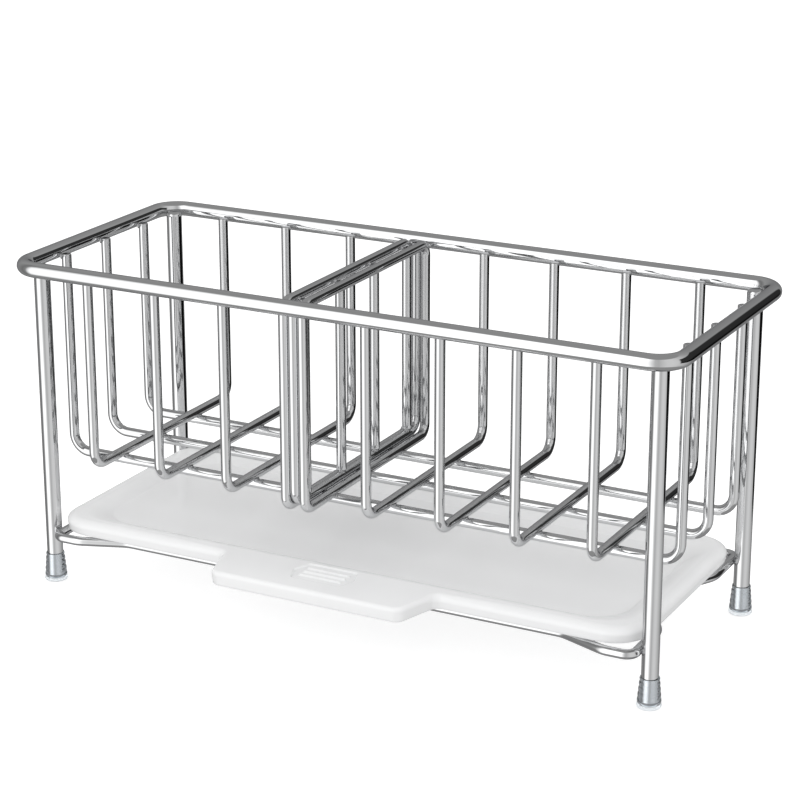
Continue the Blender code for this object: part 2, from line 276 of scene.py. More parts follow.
def makeChrome(name, look, film, waves):
    # Plated wire: its edges mirror less, and a film of wiping marks dulls it. Beside a weld, or in
    # patches on a weld's own collar, it is duller and puckered.
    material, tree, shader = newMaterial(name, {"Metallic": 1.0, "Specular Tint": look["edgeTint"]})
    marks = placeGroup(tree, film, look["marks"])
    if look["leastDull"] is None:
        weld = addNode(tree, "ShaderNodeAttribute", attribute_name="weldNear").outputs["Fac"]
    else:
        patches = placeGroup(tree, waves, look["patches"])
        weld = rangeNode(tree, patches, *look["patchEdges"], look["leastDull"])
    marks = mathNode(tree, "MULTIPLY", marks, look["marksShare"])
    dirt = mathNode(tree, "MAXIMUM", marks, weld, True)
    tintBy(tree, shader, dirt, look["plate"], look["weldTint"])
    dullBy(tree, shader, dirt, look["polished"], look["dulled"])
    ripple = placeGroup(tree, waves, look["ripple"])
    pucker = mathNode(tree, "MULTIPLY", placeGroup(tree, waves, look["pucker"]), weld)
    pucker = mathNode(tree, "MULTIPLY", pucker, look["puckerDepth"] / look["rippleDepth"])
    bumpBy(tree, shader, mathNode(tree, "ADD", ripple, pucker), look["rippleDepth"])
    return material


plasticLook = {
    "body": {"IOR": 1.49},
    "clean": (0.89, 0.892, 0.895),
    "wiped": (0.875, 0.878, 0.883),
    "gloss": 0.2,
    "matt": 0.27,
    "marks": {"Patches per metre": 14, "Specks per metre": 60, "Share": 0.3},
    "grain": {"Waves per metre": 24, "Fine per metre": 300, "Fine share": 0.01},
    "grainDepth": 0.00003,
}

rubberLook = {
    "body": {"IOR": 1.42, "Transmission Weight": 0.95},
    "clean": (0.86, 0.905, 0.945),
    "wiped": (0.82, 0.865, 0.905),
    "gloss": 0.01,
    "matt": 0.03,
    "marks": {"Patches per metre": 260, "Specks per metre": 1800, "Share": 0.3},
    "grain": {"Waves per metre": 420, "Fine share": 0.1},
    "grainDepth": 0.00001,
}


def makeMoulded(name, look, film, waves):
    # Moulded plastic or rubber, a little greyer and duller where it was wiped.
    material, tree, shader = newMaterial(name, look["body"])
    marks = placeGroup(tree, film, look["marks"])
    tintBy(tree, shader, marks, look["clean"], look["wiped"])
    dullBy(tree, shader, marks, look["gloss"], look["matt"])
    bumpBy(tree, shader, placeGroup(tree, waves, look["grain"]), look["grainDepth"])
    return material


handlingFilm = makeHandlingFilm(filmLook)
surfaceWaves = makeSurfaceWaves(waveLook)
frameChrome = makeChrome("frameChrome", chromeLook, handlingFilm, surfaceWaves)
basketLook = dict(chromeLook, rippleDepth=0.000012)
basketChrome = makeChrome("basketChrome", basketLook, handlingFilm, surfaceWaves)
weldChrome = makeChrome("weldChrome", collarLook, handlingFilm, surfaceWaves)
trayPlastic = makeMoulded("trayPlastic", plasticLook, handlingFilm, surfaceWaves)
footRubber = makeMoulded("footRubber", rubberLook, handlingFilm, surfaceWaves)
print("finishes ready")


# Wires

wireLook = {
    "frameRadius": 0.00275,
    "basketRadius": 0.00165,
    "thickening": 0.00012,
    "frameFacets": 36,
    "basketFacets": 24,
    "step": 0.002,
    "quarterSteps": 14,
    "leastSteps": 4,
    "endRound": 0.0005,
    "endPoints": 6,
    "legCrown": 0.0016,
    "legBelow": 0.0005,
    "weldReach": 0.0018,
}

thick, thin = wireLook["frameRadius"], wireLook["basketRadius"]
thickening = wireLook["thickening"]  # in radius: legs and basket wires look thicker than the solids
alongX, alongY, alongZ = (1, 0, 0), (0, 1, 0), (0, 0, 1)


def cornerArc(corner, before, after, bend, count):
    # A rounded corner and its direction of travel:
    # arc start + bend * (before * sin turn + inward * (1 - cos turn)).
    whole = math.acos(float(before @ after))
    turn = np.linspace(0, whole, count)[:, None]
    inward = unit(after - before * math.cos(whole))
    start = corner - before * bend * math.tan(whole / 2)
    points = start + bend * (before * np.sin(turn) + inward * (1 - np.cos(turn)))
    return points, before * np.cos(turn) + inward * np.sin(turn)


def roundedLine(corners, bends, closed=False):
    # Straight runs from corner to corner, with an arc at each corner.
    corners = np.array(corners, float)
    bends = np.broadcast_to(np.array(bends, float), len(corners))
    ahead = unit(np.roll(corners, -1, 0) - corners)
    behind = np.roll(ahead, 1, 0)
    arcs = []
    for index in range(len(corners)):
        if not closed and index in (0, len(corners) - 1):
            travel = ahead[0] if index == 0 else behind[index]
            arcs.append((corners[index][None], travel[None]))
            continue
        quarters = math.acos(float(behind[index] @ ahead[index])) / (math.pi / 2)
        count = 1 + max(wireLook["leastSteps"], math.ceil(wireLook["quarterSteps"] * quarters))
        arcs.append(cornerArc(corners[index], behind[index], ahead[index], bends[index], count))
    points, travels = [], []
    for index, (line, travel) in enumerate(arcs):
        points.append(line)
        travels.append(travel)
        if not closed and index == len(arcs) - 1:
            break
        gap = arcs[(index + 1) % len(arcs)][0][0] - line[-1]
        length = np.linalg.norm(gap)
        count = math.ceil(length / wireLook["step"])
        if count > 1:
            share = np.arange(1, count)[:, None] / count
            points.append(line[-1] + gap * share)
            travels.append(np.repeat(gap[None] / length, count - 1, 0))
    return np.concatenate(points), np.concatenate(travels)


def roundEnds(points, travels, radius, rounding):
    # Rings for a cut end whose edge is a quarter circle: radius - rounding * (1 - cos a), set back
    # rounding * (1 - sin a) from the cut. One more ring lies half-way in on the cut itself.
    turn = np.linspace(math.pi / 2, 0, wireLook["endPoints"])
    back = rounding * (1 - np.sin(turn))
    slim = radius - rounding * (1 - np.cos(turn))
    back, slim = np.insert(back, 0, 0), np.insert(slim, 0, slim[0] / 2)
    rings = len(slim)
    first = points[0] + travels[0] * back[:, None]
    last = points[-1] - travels[-1] * back[::-1, None]
    points = np.concatenate((first, points[1:-1], last))
    firstWay, lastWay = (np.repeat(end, rings, 0) for end in (travels[:1], travels[-1:]))
    travels = np.concatenate((firstWay, travels[1:-1], lastWay))
    radii = np.concatenate((slim, np.full(len(points) - 2 * rings, radius), slim[::-1]))
    return points, travels, radii


def wireSkin(points, travels, radius, upward, facets, closed, rounding):
    # Each ring is a circle square to the line: point + radius * (cos a * upward + sin a * side),
    # with side = travel x upward. Open ends are rounded off and closed on a pole.
    if closed:
        radii = np.full(len(points), radius)
    else:
        points, travels, radii = roundEnds(points, travels, radius, rounding)
    upward = np.array(upward, float)
    side = np.cross(travels, upward)
    turn = fullTurn(facets)
    spoke = np.cos(turn)[None, :, None] * upward + np.sin(turn)[None, :, None] * side[:, None, :]
    skin = (points[:, None, :] + radii[:, None, None] * spoke).reshape(-1, 3)
    rows = len(points)
    quads = gridFaces(rows, facets, closedRows=closed)
    steps = np.linalg.norm(np.roll(points, -1, 0) - points, axis=1)
    along = np.concatenate(([0], np.cumsum(steps)))
    around = np.linspace(0, 2 * math.pi * radius, facets + 1)
    row = np.repeat(np.arange(rows if closed else rows - 1), facets)
    column = np.tile(np.arange(facets), len(row) // facets)
    u = along[np.stack((row, row, row + 1, row + 1), -1)]
    v = around[np.stack((column, column + 1, column + 1, column), -1)]
    uv = np.stack((u, v), -1).reshape(-1, 2)
    triangles = np.zeros((0, 3), int)
    if not closed:
        skin = np.concatenate((skin, points[:1], points[-1:]))
        triangles = capFaces(rows, facets)
        ends = np.repeat((0.0, along[rows - 1]), facets * 3)
        uv = np.concatenate((uv, np.stack((ends, np.zeros_like(ends)), -1)))
    return skin, quads, triangles, uv


def nearWelds(skin, spots, reach):
    # 1 at a weld, falling to 0 at the reach from it: (1 - gap / reach) squared.
    gap = np.linalg.norm(skin[:, None, :] - spots[None], axis=2).min(1)
    return np.clip(1 - gap / reach, 0, 1) ** 2


def addWire(name, corners, bends, radius, upward, node, closed=False, rounding=wireLook["endRound"]):
    facets, finish, slotName = wireLook["basketFacets"], basketChrome, "basket_chrome"
    if radius > (thick + thin) / 2:
        facets, finish, slotName = wireLook["frameFacets"], frameChrome, "frame_chrome"
    points, travels = roundedLine(corners, bends, closed)
    skin, quads, triangles, uv = wireSkin(points, travels, radius, upward, facets, closed, rounding)
    weld = nearWelds(skin, allSpots, wireLook["weldReach"])
    addPiece(name, skin, quads, triangles, finish, "rack", slotName, (node,), uv, weld)


# Where the rack's pieces lie, from their CAD boxes

rackMiddle = 0.006175  # the rack's own middle, behind the part's origin
rimBend, crossBend, longBend, loopBend = 0.009, 0.0055, 0.0065, 0.004
longRuns = np.array((-0.0247, 0.0, 0.0247))
crossWires, dividerBars = 8, 4
legFoot = 0.0007  # the legs' lower ends, down inside the clear feet
ringWider = 0.0004  # the ring's ears reach this much further out than the solid's


def boxOf(node):
    low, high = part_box(node)
    return np.array(low), np.array(high)


_, rimHigh = boxOf("top_rim")
rimX = rimHigh[0] - thick
rimY = rimHigh[1] - thick - rackMiddle
rimZ = rimHigh[2] - thick
crossBoxes = [boxOf(f"cross_wire_{number}") for number in range(1, crossWires + 1)]
crossX = [(low[0] + high[0]) / 2 for low, high in crossBoxes]
crossLow, crossHigh = crossBoxes[0]
crossY = crossHigh[1] - thin - rackMiddle
crossZ = crossLow[2] + thin
crossTop = crossHigh[2]
longLow, longHigh = boxOf("long_wire_1")
longX = longHigh[0] - thin
longZ = longLow[2] + thin
loopBoxes = {side: boxOf("divider_loop_" + side) for side in ("left", "right")}
loopX = {side: (low[0] + high[0]) / 2 for side, (low, high) in loopBoxes.items()}
loopLow, loopHigh = loopBoxes["left"]
loopTop = loopHigh[2] - thin
loopZ = loopLow[2] + thin
barBoxes = [boxOf(f"divider_bar_{number}") for number in range(1, dividerBars + 1)]
barRuns = [(low[1] + high[1]) / 2 - rackMiddle for low, high in barBoxes]
barLow, barHigh = barBoxes[0]
barX = (barLow[0] + barHigh[0]) / 2
legNames = {"front_left": (-1, -1), "front_right": (1, -1), "rear_left": (-1, 1), "rear_right": (1, 1)}
legLow, legHigh = boxOf("leg_rear_right")
legX = (legLow[0] + legHigh[0]) / 2
legY = (legLow[1] + legHigh[1]) / 2 - rackMiddle
ringLow, ringHigh = boxOf("tray_support")
ringX = ringHigh[0] - thin + ringWider
ringY = ringHigh[1] - thin - rackMiddle
ringZ = (ringLow[2] + ringHigh[2]) / 2


# Welds

weldLook = {
    "facets": 28,
    "levels": 9,
    "sink": 0.00008,
    "hidden": 0.0003,
    "belowRim": 0.0016,
    "barEnd": 0.0006,
    "flat": 1,
    "leastGap": 0.0001,
    "rim": (0.00075, 0.00105),
    "loop": (0.0008, 0.0011),
    "crossing": (0.0009, 0.0012),
    "barFoot": (0.0014, 0.0016),
    "barTop": (0.0006, 0.0009),
    "leg": (0.0011, 0.0015),
}


def weldSpot(place, across, runA, runB, radiusA, radiusB, gap, waist, lip):
    # One row: the place, the way across from wire A to wire B, both wires' runs, and five lengths.
    return (*place, *across, *runA, *runB, radiusA, radiusB, gap, waist, lip)


def weldSkins(spots, look):
    # A waisted ring between two wires: radius = waist + (lip - waist) * level squared, and each lip
    # lies on its wire's skin, which falls away by radius - sqrt(radius squared - offset squared).
    spots = np.array(spots)
    place, across, runA, runB = (spots[:, None, None, at:at + 3] for at in (0, 3, 6, 9))
    radiusA, radiusB, gap, waist, lip = (spots[:, None, None, at] for at in range(12, 17))
    level = np.linspace(-1, 1, look["levels"])[None, :, None]
    turn = fullTurn(look["facets"])[None, None, :]
    reach = waist + (lip - waist) * level**2
    side = np.cross(across, runA)
    out = np.cos(turn)[..., None] * runA + np.sin(turn)[..., None] * side
    offsetA = reach * np.sin(turn)
    offsetB = reach * (out * np.cross(across, runB)).sum(-1)
    skinA = -gap / 2 - look["sink"] - radiusA + np.sqrt(np.maximum(radiusA**2 - offsetA**2, 0))
    skinB = gap / 2 + look["sink"] + radiusB - np.sqrt(np.maximum(radiusB**2 - offsetB**2, 0))
    height = (skinA + skinB) / 2 + (skinB - skinA) / 2 * level
    skin = place + out * reach[..., None] + across * height[..., None]
    count, levels, facets = skin.shape[:3]
    inside = gap[:, 0, 0] / 2 + look["hidden"]
    lowPole = place[:, 0, 0] - across[:, 0, 0] * inside[:, None]
    highPole = place[:, 0, 0] + across[:, 0, 0] * inside[:, None]
    points = np.concatenate((skin.reshape(count, -1, 3), lowPole[:, None], highPole[:, None]), 1)
    starts = (np.arange(count) * points.shape[1])[:, None, None]
    quads = (gridFaces(levels, facets)[None] + starts).reshape(-1, 4)
    triangles = (capFaces(levels, facets)[None] + starts).reshape(-1, 3)
    return points.reshape(-1, 3), quads, triangles


def placeWelds(look):
    # The pairs in the look are each weld's waist and lip. A bar's flat foot counts as a wire of 1 m.
    rim, basket, leg = [], [], []
    rimGap = rimY - crossY - thick - thin
    high = rimZ - look["belowRim"]
    for side in (-1, 1):
        for x in crossX:
            spot = (x, rackMiddle + side * (crossY + thin + rimGap / 2), high)
            rim.append(weldSpot(spot, (0, -side, 0), alongX, alongZ, thick, thin, rimGap, *look["rim"]))
        for y in longRuns:
            spot = (side * (longX + thin + rimGap / 2), rackMiddle + y, high)
            rim.append(weldSpot(spot, (-side, 0, 0), alongY, alongZ, thick, thin, rimGap, *look["rim"]))
        for x in loopX.values():
            outer = np.array((0, rackMiddle + side * rimY, rimZ))
            inner = np.array((0, rackMiddle + side * (crossY - loopBend), loopTop - loopBend))
            toward = unit(inner - outer)
            gap = np.linalg.norm(inner - outer) - loopBend - thick - thin
            spot = outer + toward * (thick + gap / 2) + np.array((x, 0, 0))
            run = np.cross(alongX, toward)
            rim.append(weldSpot(spot, toward, alongX, run, thick, thin, gap, *look["loop"]))
    crossGap = crossZ - longZ - 2 * thin
    for x in crossX:
        for y in longRuns:
            spot = (x, rackMiddle + y, longZ + thin + crossGap / 2)
            basket.append(weldSpot(spot, alongZ, alongX, alongY, thin, thin, crossGap, *look["crossing"]))
    foot = barLow[2] - crossZ - thin
    for y in barRuns:
        spot = (barX, rackMiddle + y, barLow[2] - foot / 2)
        basket.append(weldSpot(spot, alongZ, alongY, alongX, thin, look["flat"], foot, *look["barFoot"]))
        for side in ("left", "right"):
            reach = np.array((loopX[side] - barX, 0, loopTop - barHigh[2] + look["barEnd"]))
            toward = unit(reach)
            gap = np.linalg.norm(reach) - 2 * thin
            spot = np.array((barX, rackMiddle + y, loopTop - reach[2])) + toward * (thin + gap / 2)
            run = np.cross(alongY, toward)
            basket.append(weldSpot(spot, toward, alongY, run, thin, thin, gap, *look["barTop"]))
    for side, end in legNames.values():
        diagonal = np.array((side, end, 0)) / math.sqrt(2)
        middle = np.array((side * (rimX - rimBend), rackMiddle + end * (rimY - rimBend), high))
        legPlace = np.array((side * legX, rackMiddle + end * legY, high))
        gap = rimBend - np.linalg.norm(legPlace - middle) - 2 * thick
        spot = legPlace + diagonal * (thick + gap / 2)
        run = np.cross(alongZ, diagonal)
        leg.append(weldSpot(spot, -diagonal, run, alongZ, thick, thick, gap, *look["leg"]))
        gap = legX - ringX - thick - thin
        spot = (side * (ringX + thin + gap / 2), rackMiddle + end * legY, ringZ)
        gap = max(gap, look["leastGap"])
        leg.append(weldSpot(spot, (side, 0, 0), alongY, alongZ, thin, thick, gap, *look["leg"]))
    return rim, basket, leg


rimWelds, basketWelds, legWelds = placeWelds(weldLook)
allSpots = np.array(rimWelds + basketWelds + legWelds)[:, :3]
for name, spots, slotName in (
    ("rimWelds", rimWelds, "frame_chrome"),
    ("basketWelds", basketWelds, "basket_chrome"),
    ("legWelds", legWelds, "frame_chrome"),
):
    addPiece(name, *weldSkins(spots, weldLook), weldChrome, "rack", slotName)
print("welds", len(allSpots))


# The rim, the legs and the basket

def addRim():
    flat = [(-rimX, -rimY), (rimX, -rimY), (rimX, rimY), (-rimX, rimY)]
    line = [(x, y + rackMiddle, rimZ) for x, y in flat]
    addWire("topRim", line, rimBend, thick, alongZ, "top_rim", True)


def addLegs():
    for corner, (side, end) in legNames.items():
        x, y = side * legX, rackMiddle + end * legY
        line = [(x, y, legFoot), (x, y, legHigh[2] - wireLook["legBelow"])]
        name, node = "leg" + corner.title().replace("_", ""), "leg_" + corner
        addWire(name, line, 0, thick + thickening, alongY, node, rounding=wireLook["legCrown"])


def addBasket():
    for number, x in enumerate(crossX, 1):
        flat = [(-crossY, crossTop), (-crossY, crossZ), (crossY, crossZ), (crossY, crossTop)]
        line = [(x, rackMiddle + y, z) for y, z in flat]
        node = f"cross_wire_{number}"
        addWire(f"crossWire{number}", line, crossBend, thin + thickening, alongX, node)
    for number, y in enumerate(longRuns, 1):
        flat = [(-longX, crossTop), (-longX, longZ), (longX, longZ), (longX, crossTop)]
        line = [(x, rackMiddle + y, z) for x, z in flat]
        node = f"long_wire_{number}"
        addWire(f"longWire{number}", line, longBend, thin + thickening, alongY, node)


def addDivider():
    for side, x in loopX.items():
        flat = [(-crossY, loopZ), (crossY, loopZ), (crossY, loopTop), (-crossY, loopTop)]
        line = [(x, rackMiddle + y, z) for y, z in flat]
        node = "divider_loop_" + side
        name = "dividerLoop" + side.capitalize()
        addWire(name, line, loopBend, thin + thickening, alongX, node, True)
    for number, y in enumerate(barRuns, 1):
        line = [(barX, rackMiddle + y, barLow[2]), (barX, rackMiddle + y, barHigh[2])]
        node = f"divider_bar_{number}"
        addWire(f"dividerBar{number}", line, 0, thin + thickening, alongX, node)


# The ring that carries the tray

ringLook = {
    "corner": 0.0035,
    "waistDepth": 0.0065,
    "waistBend": 0.010,
    "sideEar": 0.022,
    "sideSlant": 0.012,
    "frontEar": 0.010,
    "frontSlant": 0.017,
}


def addSupportRing(look):
    # A quarter of the ring's corners, from a long run to a side, mirrored to the other three.
    earX, earY = ringX - look["frontEar"], ringY - look["sideEar"]
    quarter = [
        (earX - look["frontSlant"], ringY - look["waistDepth"], look["waistBend"]),
        (earX, ringY, look["waistBend"]),
        (ringX, ringY, look["corner"]),
        (ringX, earY, look["waistBend"]),
        (ringX - look["waistDepth"], earY - look["sideSlant"], look["waistBend"]),
    ]
    whole = [(x, -y, bend) for x, y, bend in quarter] + [(x, y, bend) for x, y, bend in quarter[::-1]]
    whole += [(-x, y, bend) for x, y, bend in quarter] + [(-x, -y, bend) for x, y, bend in quarter[::-1]]
    line = [(x, y + rackMiddle, ringZ) for x, y, _ in whole]
    bends = [bend for _, _, bend in whole]
    addWire("supportRing", line, bends, thin, alongZ, "tray_support", True)


addRim()
addLegs()
addBasket()
addDivider()
addSupportRing(ringLook)
print("wires ready")


# The clear feet

footLook = {
    "top": 0.0033,
    "bottom": 0.00415,
    "height": 0.0104,
    "edge": 0.0006,
    "lip": 0.00025,
    "boreStart": 0.00075,
    "squeeze": 0.00005,
    "notches": 5,
    "notchDepth": 0.00022,
    "notchTurn": 0.48,
    "notchEdge": 0.76,
    "notchFade": 0.12,
    "soleRings": (0.25, 0.6, 0.9),
    "bedRings": (0.6, 0.3),
    "roundPoints": 9,
    "sidePoints": 68,
    "borePoints": 7,
    "facets": 72,
}


def turnedSkin(radii, heights, dips, look):
    # A profile turned about the upright axis: (radius * cos a, radius * sin a, height), a pole at each
    # end. The dips bite in at two opposite sides only: the soft step of (|cos(a - turn)| - edge) / fade.
    facets = look["facets"]
    turn = fullTurn(facets)
    facing = np.abs(np.cos(turn - look["notchTurn"]))
    reach = radii[:, None] - dips[:, None] * softStep((facing - look["notchEdge"]) / look["notchFade"])
    skin = np.stack((
        reach * np.cos(turn),
        reach * np.sin(turn),
        np.broadcast_to(heights[:, None], reach.shape),
    ), -1).reshape(-1, 3)
    poles = np.array(((0, 0, heights[0]), (0, 0, heights[-1])))
    rows = len(radii)
    return np.concatenate((skin, poles)), gridFaces(rows, facets), capFaces(rows, facets)


def footProfile(look):
    # Under the sole, round its edge, up the flared side, over the lip, and down the bore, which is
    # squeezed tight and so lies just inside the leg. Each notch of the side is (0.5 - 0.5 cos) squared.
    quarter = np.linspace(0, math.pi / 2, look["roundPoints"])
    edge, lip = look["edge"], look["lip"]
    rings = np.array(look["soleRings"])
    sole = (rings * (look["bottom"] - edge), np.zeros(len(rings)))
    rounding = (look["bottom"] - edge * (1 - np.sin(quarter)), edge * (1 - np.cos(quarter)))
    share = np.linspace(0, 1, look["sidePoints"] + 2)[1:-1]
    dip = look["notchDepth"] * (0.5 - 0.5 * np.cos(2 * math.pi * look["notches"] * share)) ** 2
    flare = (
        look["bottom"] + (look["top"] - look["bottom"]) * share,
        edge + (look["height"] - lip - edge) * share,
    )
    over = np.linspace(0, math.pi, look["roundPoints"])
    middle = look["top"] - lip
    crown = (middle + lip * np.cos(over), look["height"] - lip + lip * np.sin(over))
    bore, floor = thick - look["squeeze"], legFoot + look["squeeze"]
    boreTop, cutRound = look["height"] - look["boreStart"], wireLook["endRound"]
    down = np.linspace(0, 1, look["borePoints"] + 1)[1:]
    wall = (np.full(len(down), bore), boreTop + (floor + cutRound - boreTop) * down)
    turn = quarter[1:]
    ground = (bore - cutRound * (1 - np.cos(turn)), floor + cutRound * (1 - np.sin(turn)))
    rings = np.array(look["bedRings"])
    bed = (rings * bore, np.full(len(rings), floor))
    parts = (sole, rounding, flare, crown, wall, ground, bed)
    radii, heights = (np.concatenate([part[which] for part in parts]) for which in (0, 1))
    before = len(sole[0]) + len(rounding[0])
    return radii, heights, np.pad(dip, (before, len(radii) - before - len(dip)))


def addFeet(look):
    skin, quads, triangles = turnedSkin(*footProfile(look), look)
    for corner, (side, end) in legNames.items():
        place = np.array((side * legX, rackMiddle + end * legY, 0))
        name, node = "foot" + corner.title().replace("_", ""), "foot_" + corner
        addPiece(name, skin + place, quads, triangles, footRubber, "rack", "foot_rubber", (node,))


addFeet(footLook)
print("feet ready")


# The drip tray

trayLook = {
    "halfLength": 0.112263,
    "halfWidth": 0.0467,
    "forward": 0.0008,
    "corner": 0.013,
    "floorCorner": 0.0135,
    "wall": 0.0018,
    "crest": 0.0052,
    "floor": 0.0027,
    "roll": 0.0023,
    "crown": 1.5,
    "crownStart": 0.45,
    "draft": 0.0004,
    "bottomEdge": 0.0004,
    "innerRoll": 0.0005,
    "crestInset": 0.005,
    "floorInset": 0.0117,
    "slopeBend": 1.7,
    "crease": 0.00012,
    "tabRoot": 0.0415,
    "tabTip": 0.036,
    "tabReach": 0.017,
    "tabRoll": 0.0014,
    "tabCorner": 0.004,
    "tabRootBend": 0.003,
    "tabSetback": 0.001,
    "rootSpread": 0.0018,
    "blendReach": 0.006,
    "points": {"tabCorner": 10, "tabSide": 7, "tabRoot": 9, "front": 11, "corner": 16, "end": 9, "rear": 18},
    "tipColumns": ((0, 6), (0.0074, 30), (0.0124, 9)),
    "rollPoints": 7,
    "lipPoints": 9,
    "climbRows": (0.3, 0.7, 0.95),
    "underRows": (0.1, 0.35, 0.65, 0.9),
    "floorRows": (0.15, 0.5, 0.8, 0.97, 0.995),
    "slopeRows": ((0, 0.84, 9), (0.88, 1.12, 13), (1.2, 1.2, 1)),
    "crestRows": (6, 112),
    "crestStart": 0.012,
}

gripLook = {
    "halfLength": 0.0116,
    "shoulder": 0.0094,
    "depth": 0.0133,
    "setback": 0.0083,
    "sink": 0.0005,
    "slope": 0.0006,
    "slopeShift": 0.35,
    "softness": 0.0005,
    "ridges": 3,
    "ridgeLength": 0.0164,
    "ridgeWidth": 0.0009,
    "pitch": 0.00305,
    "rise": 0.0006,
    "margin": 0.0006,
}


def edgeArc(corner, before, after, bend, count):
    # Points and inward normals of one rounded corner of an outline that runs anticlockwise.
    corner, before, after = (np.array(value, float) for value in (corner, before, after))
    points, travel = cornerArc(corner, unit(before), unit(after), bend, count)
    return points, np.stack((-travel[:, 1], travel[:, 0]), -1)


def runBetween(start, end, count):
    # The points inside a straight run, without its ends, and each one's share of the way.
    share = np.linspace(0, 1, count + 2)[1:-1]
    return start + (end - start) * share[:, None], share


def alike(row, line):
    return np.repeat(np.array([row], float), len(line), 0)


def trayOutline(look):
    # The right half of the tray's outer edge, from the middle of the tab's tip to the middle of the
    # rear: places, inward normals, the shares of the rim's full roll and of its full breadth, how far
    # along the tray's own front each tab point is carried, and the shares along the straight runs.
    x, y = look["halfLength"], look["halfWidth"]
    points = look["points"]
    tip = (look["tabTip"], -y - look["tabReach"])
    neck = (look["tabRoot"], -y + look["tabSetback"])
    slant = np.array(neck) - np.array(tip)
    root = np.array(tip) + slant * (look["tabReach"] / slant[1])
    tipArc, tipIn = edgeArc(tip, (1, 0), slant, look["tabCorner"], points["tabCorner"])
    rootArc, rootIn = edgeArc(root, slant, (1, 0), look["tabRootBend"], points["tabRoot"])
    frontArc, frontIn = edgeArc((x, -y), (1, 0), (0, 1), look["corner"], points["corner"])
    rearArc, rearIn = edgeArc((x, y), (0, 1), (-1, 0), look["corner"], points["corner"])
    tipEnd = tipArc[0][0]
    starts, counts = zip(*look["tipColumns"])
    across = np.concatenate([
        np.linspace(start, end, count, endpoint=False)
        for start, end, count in zip(starts, (*starts[1:], tipEnd), counts)
    ])
    tipRun = np.stack((across, np.full(len(across), tip[1])), -1)
    sideRun, _ = runBetween(tipArc[-1], rootArc[0], points["tabSide"])
    frontRun, frontShare = runBetween(rootArc[-1], frontArc[0], points["front"])
    endRun, endShare = runBetween(frontArc[-1], rearArc[0], points["end"])
    rearShare = 1 - np.linspace(0, 1, points["rear"] + 1)[1:]
    rearRun = np.stack((rearArc[-1][0] * rearShare, np.full(len(rearShare), y)), -1)
    places = np.concatenate((tipRun, tipArc, sideRun, rootArc, frontRun, frontArc, endRun, rearArc, rearRun))
    normals = np.concatenate((
        alike((0, 1), tipRun), tipIn, alike(tipIn[-1], sideRun), rootIn, alike((0, 1), frontRun), frontIn,
        alike((-1, 0), endRun), rearIn, alike((0, -1), rearRun),
    ))
    tabCount = len(tipRun) + len(tipArc) + len(sideRun) + len(rootArc)
    sideCount = len(tipArc) + len(sideRun)
    steps = np.linalg.norm(np.diff(places[len(tipRun):len(tipRun) + sideCount], axis=0), axis=1)
    walked = np.concatenate(([0], np.cumsum(steps)))
    turnIn = rootArc[0][0] - look["rootSpread"]
    carried = tipEnd + (turnIn - tipEnd) * walked / walked[-1]
    rootX = np.linspace(turnIn, rootArc[-1][0], len(rootArc) + 1)[1:]
    frontX = np.concatenate((across, carried, rootX))
    blend = (places[:tabCount, 1] + y + look["blendReach"]) / look["blendReach"]
    rootBlend = np.ones(len(places))
    rootBlend[:tabCount] = softStep(blend)
    # The rim's roll widens along the front run only: the tab's root bends too tightly for it.
    broad = np.ones(len(places))
    broad[:tabCount] = 0
    broad[tabCount:tabCount + len(frontRun)] = softStep(frontShare / look["crownStart"])
    return places, normals, rootBlend, broad, frontX, (frontShare, endShare, rearShare)


def innerRing(look, frontX, shares, inset):
    # The right half of the tray's rounded oblong, drawn in by the inset, point for point.
    frontShare, endShare, rearShare = shares
    deep = inset / look["floorInset"]
    bend = look["corner"] + (look["floorCorner"] - look["corner"]) * deep
    x, y = look["halfLength"] - inset, look["halfWidth"] - inset
    front = np.concatenate((frontX, frontX[-1] + (x - bend - frontX[-1]) * frontShare))
    turn = np.linspace(0, math.pi / 2, look["points"]["corner"])
    frontArc = np.stack((x - bend + bend * np.sin(turn), -y + bend - bend * np.cos(turn)), -1)
    endRun = np.stack((np.full(len(endShare), x), (bend - y) + 2 * (y - bend) * endShare), -1)
    rearArc = np.stack((x - bend + bend * np.cos(turn), y - bend + bend * np.sin(turn)), -1)
    rearRun = np.stack(((x - bend) * rearShare, np.full(len(rearShare), y)), -1)
    frontRun = np.stack((front, np.full(len(front), -y)), -1)
    return np.concatenate((frontRun, frontArc, endRun, rearArc, rearRun))


def gripHeight(look, tip, x, y):
    # The recess is a six-sided dish: -sink * soft step of how far inside its edge a point lies. Its
    # edge is the larger of the distances to the ends and the sides, softened by the log of the sum of
    # their exponentials. Each ridge is half a round bar: rise * sqrt(1 - (gap / half width) squared).
    middle = tip + look["setback"] + look["depth"] / 2
    lean = (look["halfLength"] - look["shoulder"]) / (look["depth"] / 2)
    ends = (np.abs(x) + lean * np.abs(y - middle) - look["halfLength"]) / math.hypot(1, lean)
    sides = np.abs(y - middle) - look["depth"] / 2
    soft = look["softness"]
    high = np.maximum(ends, sides)
    edge = high + soft * np.log(np.exp((ends - high) / soft) + np.exp((sides - high) / soft))
    height = -look["sink"] * softStep(-edge / look["slope"] + look["slopeShift"])
    half = look["ridgeWidth"] / 2
    reach = look["ridgeLength"] / 2 - half
    rows = middle + (np.arange(look["ridges"]) - (look["ridges"] - 1) / 2) * look["pitch"]
    gap = np.hypot(np.maximum(np.abs(x)[..., None] - reach, 0), y[..., None] - rows).min(-1)
    return height + look["rise"] * np.sqrt(np.clip(1 - (gap / half) ** 2, 0, 1))


def mirrored(half):
    # The whole loop from its right half: the same points with x turned over, run backwards.
    back = half[..., 1:-1, :][..., ::-1, :] * (-1, 1)
    return np.concatenate((half, back), -2)


